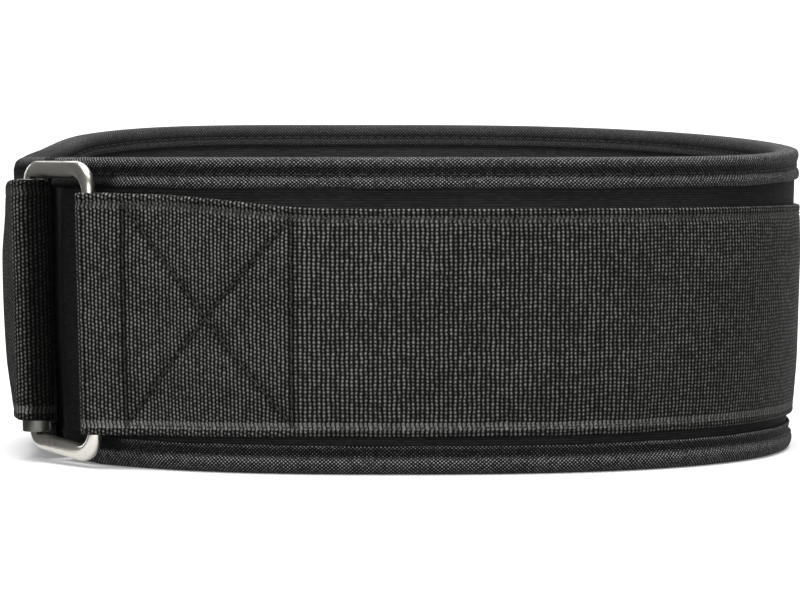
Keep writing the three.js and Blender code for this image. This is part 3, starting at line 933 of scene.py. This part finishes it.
def stitch_tree():
    """Geometry Nodes tree that lays stitches along the edges of a mesh, flat on its surface."""
    tree = bpy.data.node_groups.new("stitch rows", "GeometryNodeTree")
    face = tree.interface
    face.new_socket("Rows", in_out="INPUT", socket_type="NodeSocketGeometry")
    for name in ("Stitch length", "Stitch gap", "Thread thickness"):
        face.new_socket(name, in_out="INPUT", socket_type="NodeSocketFloat")
    face.new_socket("Seed", in_out="INPUT", socket_type="NodeSocketInt")
    face.new_socket("Thread", in_out="INPUT", socket_type="NodeSocketMaterial")
    face.new_socket("Stitches", in_out="OUTPUT", socket_type="NodeSocketGeometry")
    nodes, links = tree.nodes, tree.links

    def add(kind, settings=None, sockets=None):
        node = nodes.new(kind)
        for key, value in (settings or {}).items():
            setattr(node, key, value)
        for key, value in (sockets or {}).items():
            if isinstance(value, bpy.types.NodeSocket):
                links.new(value, node.inputs[key])
            else:
                node.inputs[key].default_value = value
        return node

    given = add("NodeGroupInput").outputs
    length, gap, thick = (given[name] for name in ("Stitch length", "Stitch gap", "Thread thickness"))
    pitch = add("ShaderNodeMath", {"operation": "ADD"}, {0: length, 1: gap}).outputs[0]
    curve = add("GeometryNodeMeshToCurve", None, {"Mesh": given["Rows"]}).outputs[0]
    spaced = add("GeometryNodeResampleCurve", {"mode": "LENGTH"}, {"Curve": curve, "Length": pitch})
    outward = add("GeometryNodeInputNamedAttribute", {"data_type": "FLOAT_VECTOR"}, {"Name": "outward"})
    tangent = add("GeometryNodeInputTangent").outputs[0]
    along = add("FunctionNodeAlignRotationToVector", {"axis": "X"}, {"Vector": tangent})
    lying = add(
        "FunctionNodeAlignRotationToVector",
        {"axis": "Z", "pivot_axis": "X"},
        {"Rotation": along.outputs[0], "Vector": outward.outputs[0]},
    )
    chance = {2: 0.88, 3: 1.08, "Seed": given["Seed"]}
    uneven = add("FunctionNodeRandomValue", {"data_type": "FLOAT"}, chance).outputs[1]
    size = add("ShaderNodeCombineXYZ", None, {0: length, 1: thick, 2: thick}).outputs[0]
    varied = add("ShaderNodeVectorMath", {"operation": "SCALE"}, {0: size, "Scale": uneven})
    bead = add("GeometryNodeMeshUVSphere", None, {"Segments": 8, "Rings": 6, "Radius": 0.5}).outputs[0]
    quarter = (0.0, math.pi / 2, 0.0)
    turned = add("GeometryNodeTransform", None, {"Geometry": bead, "Rotation": quarter})
    round_bead = add("GeometryNodeSetShadeSmooth", None, {0: turned.outputs[0]})
    placed = add(
        "GeometryNodeInstanceOnPoints",
        None,
        {
            "Points": spaced.outputs[0],
            "Instance": round_bead.outputs[0],
            "Rotation": lying.outputs[0],
            "Scale": varied.outputs[0],
        },
    )
    real = add("GeometryNodeRealizeInstances", None, {0: placed.outputs[0]}).outputs[0]
    dressed = add("GeometryNodeSetMaterial", None, {"Geometry": real, "Material": given["Thread"]})
    add("NodeGroupOutput", None, {0: dressed.outputs[0]})
    return tree


def sew(name, rows, sizes, thread, slot):
    """Piece of stitches along rows of (points, outward directions)."""
    verts, edges, outwards = [], [], []
    for points, outward in rows:
        start = len(verts)
        verts += points.tolist()
        outwards.append(outward)
        edges += [(start + i, start + i + 1) for i in range(len(points) - 1)]
    mesh = bpy.data.meshes.new(name + "_rows")
    mesh.from_pydata(verts, edges, [])
    held = mesh.attributes.new("outward", "FLOAT_VECTOR", "POINT")
    held.data.foreach_set("vector", np.concatenate(outwards).astype(np.float32).ravel())
    source = bpy.data.objects.new(name + "_rows", mesh)
    bpy.context.collection.objects.link(source)
    modifier = source.modifiers.new("stitches", "NODES")
    modifier.node_group = stitch_tree()
    named = {
        item.name: item.identifier
        for item in modifier.node_group.interface.items_tree
        if item.in_out == "INPUT"
    }
    modifier[named["Stitch length"]] = sizes.stitch_length
    modifier[named["Stitch gap"]] = sizes.stitch_gap
    modifier[named["Thread thickness"]] = sizes.thread_thickness
    modifier[named["Seed"]] = 7
    modifier[named["Thread"]] = thread
    depsgraph = bpy.context.evaluated_depsgraph_get()
    made = bpy.data.meshes.new_from_object(source.evaluated_get(depsgraph), depsgraph=depsgraph)
    if not made.polygons:
        raise RuntimeError(f"no stitches came out for {name}")
    source.modifiers.remove(modifier)
    bpy.data.objects.remove(source)
    made.name = name
    piece = bpy.data.objects.new(name, made)
    bpy.context.collection.objects.link(piece)
    finish_piece(piece, slot, thread)


def row_on_ribbon(ribbon, walked, across, out):
    """Points and outward directions of a row of stitches on a ribbon's seen face."""
    across = np.broadcast_to(across, walked.shape)
    points = ribbon.points(walked, across[:, None], out[:, None])[:, 0]
    higher = ribbon.points(walked, across[:, None], (out + 1 * MM)[:, None])[:, 0]
    return points, (higher - points) / MM


# Settings

def length_property(name, description, default):
    return bpy.props.FloatProperty(name=name, description=description, default=default, unit="LENGTH")


def colour_property(name, description, default):
    return bpy.props.FloatVectorProperty(
        name=name, description=description, default=default, subtype="COLOR", size=3, min=0.0, max=1.0
    )


class BeltSizes(bpy.types.PropertyGroup):
    """Sizes that change how the cloth, the stitches and the metal look."""

    stitch_length: length_property("Stitch length", "Length of a stitch", 2.7 * MM)
    stitch_gap: length_property("Stitch gap", "Space between two stitches", 0.9 * MM)
    thread_thickness: length_property("Thread", "Thickness of the thread", 0.62 * MM)
    box_length: length_property("Box seam", "Length of the crossed box seam", 57.5 * MM)
    seam_inset: length_property("Seam inset", "Distance of the edge seams from the edges", 3.2 * MM)
    seam_depth: length_property("Seam depth", "How deep the seams pull in", 0.3 * MM)
    webbing_rib: length_property("Webbing rib", "Distance between ribs", 1.5 * MM)
    webbing_knuckle: length_property("Webbing knuckle", "Distance between knuckles", 1.3 * MM)
    canvas_thread: length_property("Canvas thread", "Distance between threads", 0.92 * MM)
    body_rib: length_property("Body rib", "Distance between ribs of the cover", 0.85 * MM)
    binding_unevenness: length_property("Unevenness", "How far the bindings wander", 0.16 * MM)
    lining_swell: length_property("Lining swell", "Most that the padding pushes the lining", 2.0 * MM)


class BeltColours(bpy.types.PropertyGroup):
    """Colours of the belt's finishes."""

    webbing_yarn: colour_property("Webbing yarn", "Raised yarn of the webbing", (0.25, 0.25, 0.234))
    webbing_gap: colour_property("Webbing gaps", "Shade between the yarns", (0.0012, 0.0012, 0.0011))
    canvas_thread: colour_property("Canvas thread", "Raised threads of the bindings", (0.33, 0.333, 0.333))
    canvas_gap: colour_property("Canvas gaps", "Shade between the threads", (0.0012, 0.0012, 0.0013))
    body_light: colour_property("Cover ribs", "Ribs of the body's cover", (0.045, 0.0465, 0.045))
    body_dark: colour_property("Cover gaps", "Shade between the ribs", (0.006, 0.0062, 0.006))
    thread: colour_property("Thread", "Sewing thread", (0.03, 0.03, 0.029))
    metal: colour_property("Buckle", "Satin plating of the frame", (0.66, 0.635, 0.585))
    roller: colour_property("Roller", "Plating of the roller", (0.15, 0.15, 0.136))
    floor: colour_property("Floor", "Paper under and behind the belt", (0.93, 0.93, 0.93))


# Pieces

class BELT_OT_stage(bpy.types.Operator):
    """Makes the paper floor and backdrop, the soft lights and the camera"""

    bl_idname = "belt.stage"
    bl_label = "Make the stage"

    def execute(self, context):
        colours = context.scene.belt_colours
        line = [(-PAPER_REACH, 0.0), (BEND_FROM, 0.0)]
        for i in range(1, BEND_STEPS + 1):
            angle = i / BEND_STEPS * math.pi / 2
            forward, rise = math.sin(angle), 1 - math.cos(angle)
            line.append((BEND_FROM + BEND_RADIUS * forward, BEND_RADIUS * rise))
        line.append((BEND_FROM + BEND_RADIUS, PAPER_TOP))
        finish = floor_finish(list(colours.floor))
        halves = (("left", -PAPER_REACH, PAPER_SPLIT), ("right", PAPER_SPLIT, PAPER_REACH))
        for side, low, high in halves:
            verts = [(x, y, z) for y, z in line for x in (low, high)]
            faces = [(2 * i, 2 * i + 1, 2 * i + 3, 2 * i + 2) for i in range(len(line) - 1)]
            mesh = bpy.data.meshes.new(side + "_paper")
            mesh.from_pydata(verts, [], faces)
            mesh.shade_smooth()
            mesh.materials.append(finish)
            paper = bpy.data.objects.new(side + "_paper", mesh)
            paper.visible_glossy = side == "right"
            paper.visible_diffuse = False
            context.collection.objects.link(paper)

        for name, energy, size, place, target in LIGHTS:
            light = bpy.data.lights.new(name, "AREA")
            light.shape = "RECTANGLE"
            light.size, light.size_y = size
            light.energy = energy
            lamp = bpy.data.objects.new(name, light)
            lamp.visible_camera = False
            lamp.location = place
            way = Vector(target) - Vector(place)
            lamp.rotation_euler = way.to_track_quat("-Z", "Y").to_euler()
            context.collection.objects.link(lamp)

        world = bpy.data.worlds.new("soft studio")
        world.use_nodes = True
        background = world.node_tree.nodes["Background"].inputs
        background["Color"].default_value = (1.0, 1.0, 1.0, 1.0)
        background["Strength"].default_value = WORLD_STRENGTH
        context.scene.world = world
        context.scene.view_settings.view_transform = "Standard"

        camera = bpy.data.cameras.new("camera")
        camera.sensor_width = SENSOR_WIDTH
        camera.lens = SENSOR_WIDTH * FOCAL_PIXELS / PICTURE_WIDTH
        camera.clip_start = 0.01
        camera.clip_end = 20.0
        eye = bpy.data.objects.new("camera", camera)
        eye.location = Vector(CAMERA_PLACE) + Vector(loop_place)
        eye.rotation_euler = (math.pi / 2 - math.atan(HORIZON_PIXELS / FOCAL_PIXELS), 0.0, 0.0)
        context.collection.objects.link(eye)
        context.scene.camera = eye
        return {"FINISHED"}


class BELT_OT_body(bpy.types.Operator):
    """Makes the padded body, whose lining is swollen between its bindings by a cloth simulation"""

    bl_idname = "belt.body"
    bl_label = "Make the padded body"

    def execute(self, context):
        sizes = context.scene.belt_sizes
        colours = context.scene.belt_colours
        ends = np.array([0.0, 0.6, 1.8]) * MM
        first, last = END_GAP / 2, loop.length - END_GAP / 2
        middle = np.linspace(first + 4 * MM, last - 4 * MM, BODY_STATIONS)
        along = np.concatenate([first + ends, middle, (last - ends)[::-1]])
        thin = np.clip(np.minimum(along - first, last - along) / ends[-1], 0.0, 1.0)
        thin = 0.55 + 0.45 * np.sqrt(1 - (1 - thin) ** 2)
        plan, _, outward, angle = loop.at(along)
        bottom = BINDING_CROWN + GAP + end_lift(along)[:, None]
        top = rim_height(angle) - BINDING_CROWN - GAP
        shares = np.concatenate([[0.0, 0.012], np.linspace(0.04, 0.96, BODY_ROWS), [0.988, 1.0]])
        depth = np.concatenate([[0.24, 0.08], np.zeros(BODY_ROWS), [0.08, 0.24]])
        up = mix(bottom, top[:, None], shares[None, :])
        heights = np.concatenate([up, up[:, ::-1]], axis=1)
        half = BODY_THICKNESS / 2 * (1 - depth)
        outs = np.concatenate([half, -half[::-1]])[None, :] * thin[:, None] - BODY_THICKNESS / 2
        points = raise_wall(plan, outward, outward, outs, heights)
        body = skin("padded_body", points, cloth_map(along, points))
        # Painted shade behind the ring and in the gap at the body's left end; painted light on the lining
        shade = 0.12 * (1 - climb(along, loop_bar_along, 4 * MM))
        shade = np.maximum(shade, climb(along, loop.length - 34 * MM, 8 * MM))
        lining = np.concatenate([np.zeros(len(shares)), np.ones(len(shares))])
        note_painted_shade(body, mix(shade[:, None], -1.6, lining[None, :]))
        self.swell(context, body, len(shares), sizes.lining_swell)
        rounding = body.modifiers.new("rounding", "SUBSURF")
        rounding.levels = 1
        rounding.render_levels = 1
        finish_piece(body, "body_fabric", body_finish(sizes, colours))
        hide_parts("belt_body")
        return {"FINISHED"}

    def swell(self, context, body, rows, most):
        """Blows the lining up between the bindings, with the sewn and covered parts held."""
        held = body.vertex_groups.new(name="held")
        mesh = body.data
        count = 2 * rows
        stations = len(mesh.vertices) // count
        for index in range(len(mesh.vertices)):
            station, row = divmod(index, count)
            lining = rows + 3 <= row < count - 3 and 3 <= station < stations - 3
            held.add([index], 0.0 if lining else 1.0, "REPLACE")
        before = np.empty(len(mesh.vertices) * 3)
        mesh.vertices.foreach_get("co", before)
        before = before.reshape(-1, 3)
        cloth = body.modifiers.new("cloth", "CLOTH")
        for name, value in CLOTH.items():
            setattr(cloth.settings, name, value)
        cloth.settings.effector_weights.gravity = 0.0
        cloth.collision_settings.use_collision = False
        cloth.point_cache.frame_start = 1
        cloth.point_cache.frame_end = CLOTH_STEPS
        for step in range(1, CLOTH_STEPS + 1):
            context.scene.frame_set(step)
        depsgraph = context.evaluated_depsgraph_get()
        swollen = body.evaluated_get(depsgraph).to_mesh()
        after = np.empty(len(mesh.vertices) * 3)
        swollen.vertices.foreach_get("co", after)
        body.evaluated_get(depsgraph).to_mesh_clear()
        moved = after.reshape(-1, 3) - before
        length = np.linalg.norm(moved, axis=1)[:, None]
        capped = moved * (most * np.tanh(length / most) / np.maximum(length, 1e-9))
        body.modifiers.remove(cloth)
        context.scene.frame_set(1)
        mesh.vertices.foreach_set("co", (before + capped).ravel())
        mesh.update()
        body.vertex_groups.remove(held)


class BELT_OT_bindings(bpy.types.Operator):
    """Makes the canvas bindings that wrap the upper and the lower rim"""

    bl_idname = "belt.bindings"
    bl_label = "Make the bindings"

    def execute(self, context):
        sizes = context.scene.belt_sizes
        canvas = canvas_finish(sizes, context.scene.belt_colours)
        upper = binding_mesh("upper_binding", TOP_OUTER, True, sizes, 3)
        finish_piece(upper, "binding_canvas", canvas)
        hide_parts("top_binding")
        lower = binding_mesh("lower_binding", BOTTOM_OUTER, False, sizes, 5)
        finish_piece(lower, "binding_canvas", canvas)
        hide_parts("bottom_binding")
        return {"FINISHED"}


def box_lines(ribbon, sizes):
    """Seams of the crossed box as ((walked, share across), (walked, share across)) pairs."""
    bar = np.argmin(np.linalg.norm(ribbon.plan - (loop_bar + frame_out * loop_turn_radius), axis=1))
    start = ribbon.walked[bar] + BOX_STARTS
    end = start + sizes.box_length
    low = (sizes.seam_inset + 0.6 * MM) / ribbon.width
    high = 1 - low
    return [
        ((start, low), (start, high)),
        ((end, low), (end, high)),
        ((start, low), (end, high)),
        ((start, high), (end, low)),
    ]


def support_forms(ribbon, sizes):
    """Relief of the support strap's seen face at its edge seams and the crossed box, and painted
    shade in the dents of the box's seams.
    """
    lines = box_lines(ribbon, sizes)

    def box(walked, across, width):
        v = across * ribbon.width
        total = np.zeros(np.broadcast(walked, v).shape)
        for (u0, a0), (u1, a1) in lines:
            start = np.array([u0, a0 * ribbon.width])
            way = np.array([u1, a1 * ribbon.width]) - start
            place = np.clip(((walked - start[0]) * way[0] + (v - start[1]) * way[1]) / (way @ way), 0, 1)
            distance = np.hypot(walked - start[0] - place * way[0], v - start[1] - place * way[1])
            total = np.maximum(total, pull_in(distance, width))
        return total

    def relief(walked, across):
        v = across * ribbon.width
        from_edge = np.minimum(v, ribbon.width - v)
        total = -sizes.seam_depth * pull_in(from_edge - sizes.seam_inset, SEAM_WIDTH)
        total = total + ripple(walked, STRAP_WAVE_LENGTH, 11, STRAP_WAVE) * np.sin(math.pi * across)
        total = total - sizes.seam_depth * 1.3 * box(walked, across, 1.7 * MM)
        return np.maximum(total, -0.6 * MM)

    # Painted shade in the dents of the crossed box's seams
    def painted_shade(walked, across):
        return box(walked, across, 1.1 * MM)

    return relief, painted_shade


def tail_forms(ribbon, sizes):
    """Relief of the tail, whose fold bows out in the middle, and painted shade that darkens its flank
    by the roller.
    """
    over = ribbon.walked[-1] - (TAIL_FOLD + 4 * MM)

    def relief(walked, across):
        v = across * ribbon.width
        from_edge = np.minimum(v, ribbon.width - v)
        bow = 1.5 * MM * climb(walked, over, 20 * MM) * (1 - (2 * across - 1) ** 2)
        return bow - sizes.seam_depth * 0.5 * pull_in(from_edge - sizes.seam_inset, SEAM_WIDTH)

    def painted_shade(walked, across):
        turn = ribbon.walked[-1] - TAIL_FOLD
        # Painted shade: the under layer and the first half of the turn round the roller are drawn near
        # black
        flank = 1.25 * (1 - climb(walked, turn - 17 * MM, 6 * MM))
        return flank * np.ones(np.broadcast(walked, across).shape)

    return relief, painted_shade


class BELT_OT_webbing(bpy.types.Operator):
    """Makes the support strap round the body and the tail that turns round the roller"""

    bl_idname = "belt.webbing"
    bl_label = "Make the webbing"

    def execute(self, context):
        sizes = context.scene.belt_sizes
        around = support_ribbon()
        start, end = (line[0][0] for line in box_lines(around, sizes)[:2])
        webbing = webbing_finish(sizes, context.scene.belt_colours, end)
        fine = (start - BOX_LIP, end + BOX_LIP)
        strap = ribbon_mesh("support_webbing", around, *support_forms(around, sizes), fine)
        finish_piece(strap, "webbing", webbing)
        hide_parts("support_strap")
        folded = tail_ribbon()
        tail = ribbon_mesh("tail_webbing", folded, *tail_forms(folded, sizes))
        finish_piece(tail, "webbing", webbing)
        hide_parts("tail_strap")
        return {"FINISHED"}


class BELT_OT_buckle(bpy.types.Operator):
    """Makes the rounded frame of the buckle and the roller on its bar"""

    bl_idname = "belt.buckle"
    bl_label = "Make the buckle"

    def execute(self, context):
        colours = context.scene.belt_colours
        self.frame_piece(colours)
        self.roller_piece(colours)
        return {"FINISHED"}

    def frame_piece(self, colours):
        outer = frame_line(
            -BAR_WIDTH / 2, opening_bottom - RAIL_HEIGHT, opening_top + RAIL_HEIGHT,
            FRAME_CORNER_RADIUS, RIGHT_CORNER_RADIUS,
        )
        inner = frame_line(
            BAR_WIDTH / 2, opening_bottom, opening_top, CORNER_AT_ROLLER, RIGHT_CORNER_RADIUS - BAR_WIDTH
        )
        steps = []
        for i in range(len(outer)):
            after = (i + 1) % len(outer)
            pieces = max(round(np.linalg.norm(outer[after] - outer[i]) / FRAME_STEP), 1)
            for share in np.linspace(0.0, 1.0, pieces, endpoint=False):
                steps.append((mix(outer[i], outer[after], share), mix(inner[i], inner[after], share)))
        angle = 2 * math.pi * np.arange(FRAME_POINTS) / FRAME_POINTS
        wide = np.copysign(np.abs(np.cos(angle)) ** (2 / FRAME_SQUARENESS), np.cos(angle))
        deep = np.copysign(np.abs(np.sin(angle)) ** (2 / FRAME_SQUARENESS), np.sin(angle))
        deep = deep * FRAME_THICKNESS / 2
        rows = []
        for out_point, in_point in steps:
            centre, half = (out_point + in_point) / 2, (out_point - in_point) / 2
            width = np.linalg.norm(half)
            turn = BAR_TURN * climb(centre[0], BAR_TURN_FROM, BAR_SPACING / 2 - BAR_TURN_FROM)
            side = wide * np.cos(turn) + deep / width * np.sin(turn)
            front = deep * np.cos(turn) - wide * width * np.sin(turn)
            rows.append(in_frame(np.column_stack([centre + np.outer(side, half), front])))
        points = np.array(rows)
        walked = np.linspace(0.0, 0.26, len(points) + 1)
        ring = skin("buckle_ring", points, cloth_map(walked, points, True), closed_along=True)
        finish_piece(ring, "nickel", metal_finish("satin nickel", list(colours.metal), 0.26))
        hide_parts("buckle_frame")

    def roller_piece(self, colours):
        low = opening_bottom + RAIL_RISE + ROLLER_END_PLAY
        high = opening_top - ROLLER_END_PLAY
        edge = ROLLER_EDGE
        wall = [
            (ROLLER_BORE, low + edge), (ROLLER_BORE + edge, low), (ROLLER_RADIUS - edge, low),
            (ROLLER_RADIUS - edge * 0.3, low + edge * 0.3), (ROLLER_RADIUS, low + edge),
            (ROLLER_RADIUS, low + 4 * MM), (ROLLER_RADIUS, high - 4 * MM), (ROLLER_RADIUS, high - edge),
            (ROLLER_RADIUS - edge * 0.3, high - edge * 0.3), (ROLLER_RADIUS - edge, high),
            (ROLLER_BORE + edge, high), (ROLLER_BORE, high - edge),
        ]
        rows = []
        for i in range(ROLLER_POINTS):
            angle = 2 * math.pi * i / ROLLER_POINTS
            row = [
                (radius * math.cos(angle) - BAR_SPACING / 2, height, radius * math.sin(angle))
                for radius, height in wall
            ]
            rows.append(in_frame(row))
        points = np.array(rows)
        walked = np.linspace(0.0, 2 * math.pi * ROLLER_RADIUS, len(points) + 1)
        tube = skin("buckle_tube", points, cloth_map(walked, points, True), closed_along=True)
        finish_piece(tube, "nickel", metal_finish("dull roller metal", list(colours.roller), 0.42))
        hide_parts("buckle_roller")


class BELT_OT_stitches(bpy.types.Operator):
    """Sews the webbing, its crossed box and the bindings with Geometry Nodes stitches"""

    bl_idname = "belt.stitches"
    bl_label = "Sew the stitches"

    def execute(self, context):
        sizes = context.scene.belt_sizes
        colours = context.scene.belt_colours
        thread = thread_finish("sewing thread", list(colours.thread))
        around = support_ribbon()
        relief, _ = support_forms(around, sizes)
        rows = []

        def lay(ribbon, form, walked, across):
            across = np.broadcast_to(across, walked.shape)
            out = STRAP_THICKNESS / 2 + form(walked[:, None], across[:, None])[:, 0] + 0.05 * MM
            rows.append(row_on_ribbon(ribbon, walked, across, out))

        inset = sizes.seam_inset / around.width
        bar_side = box_lines(around, sizes)[0][0][0]
        run = np.arange(bar_side, around.walked[-1] - 4 * MM, SEAM_STEP)
        for across in (inset, 1 - inset):
            lay(around, relief, run, across)
        for (u0, a0), (u1, a1) in box_lines(around, sizes):
            share = np.linspace(0.0, 1.0, 50)
            lay(around, relief, mix(u0, u1, share), mix(a0, a1, share))
        folded = tail_ribbon()
        form, _ = tail_forms(folded, sizes)
        turn = folded.walked[-1] - (TAIL_FOLD - TAIL_SETTLE)
        end = folded.walked[-1] - 5 * MM
        run = np.arange(turn, end, SEAM_STEP)
        for across in (inset, 1 - inset):
            lay(folded, form, run, across)
        share = np.linspace(inset, 1 - inset, 60)
        lay(folded, form, np.full(60, end), share)
        sew("webbing_stitches", rows, sizes, thread, "webbing")

        rows = []
        along = np.arange(END_GAP / 2 + 3 * MM, loop.length - END_GAP / 2 - 3 * MM, SEAM_STEP)
        plan, _, outward, angle = loop.at(along)
        rim = rim_height(angle)
        lean = np.column_stack([outward, np.zeros(len(along))])
        for outer, up in ((TOP_OUTER, True), (BOTTOM_OUTER, False)):
            for table, drop, side in ((outer, OUTER_GROOVE, 1), (INNER_SIDE, INNER_GROOVE, -1)):
                line = smooth_line(table, 60)
                line = line[np.argsort(line[:, 1])]
                thick = float(np.interp(drop, line[:, 1], line[:, 0])) * MM
                out = GAP + thick if side > 0 else -BODY_THICKNESS - GAP - thick
                height = rim - drop * MM if up else drop * MM + end_lift(along)
                out = np.full((len(along), 1), out + side * 0.02 * MM)
                points = raise_wall(plan, outward, outward, out, height[:, None])[:, 0]
                rows.append((points, lean * side))
        sew("binding_stitches", rows, sizes, thread, "binding_canvas")
        return {"FINISHED"}


class BELT_PT_panel(bpy.types.Panel):
    """Panel that lists the belt's pieces and settings"""

    bl_idname = "BELT_PT_panel"
    bl_label = "Lifting belt"
    bl_space_type = "VIEW_3D"
    bl_region_type = "UI"
    bl_category = "Belt"

    def draw(self, context):
        for piece in PIECES:
            self.layout.operator(piece.bl_idname)
        for group in (context.scene.belt_sizes, context.scene.belt_colours):
            box = self.layout.box()
            for name in group.__annotations__:
                box.prop(group, name)


PIECES = (
    BELT_OT_stage,
    BELT_OT_body,
    BELT_OT_bindings,
    BELT_OT_webbing,
    BELT_OT_buckle,
    BELT_OT_stitches,
)
CLASSES = (BeltSizes, BeltColours, *PIECES, BELT_PT_panel)


def register():
    for made in CLASSES:
        bpy.utils.register_class(made)
    bpy.types.Scene.belt_sizes = bpy.props.PointerProperty(type=BeltSizes)
    bpy.types.Scene.belt_colours = bpy.props.PointerProperty(type=BeltColours)


def unregister():
    del bpy.types.Scene.belt_colours
    del bpy.types.Scene.belt_sizes
    for made in reversed(CLASSES):
        bpy.utils.unregister_class(made)


def main():
    register()
    bpy.ops.belt.stage()
    bpy.ops.belt.body()
    bpy.ops.belt.bindings()
    bpy.ops.belt.webbing()
    bpy.ops.belt.buckle()
    bpy.ops.belt.stitches()


if __name__ == "__main__":
    main()
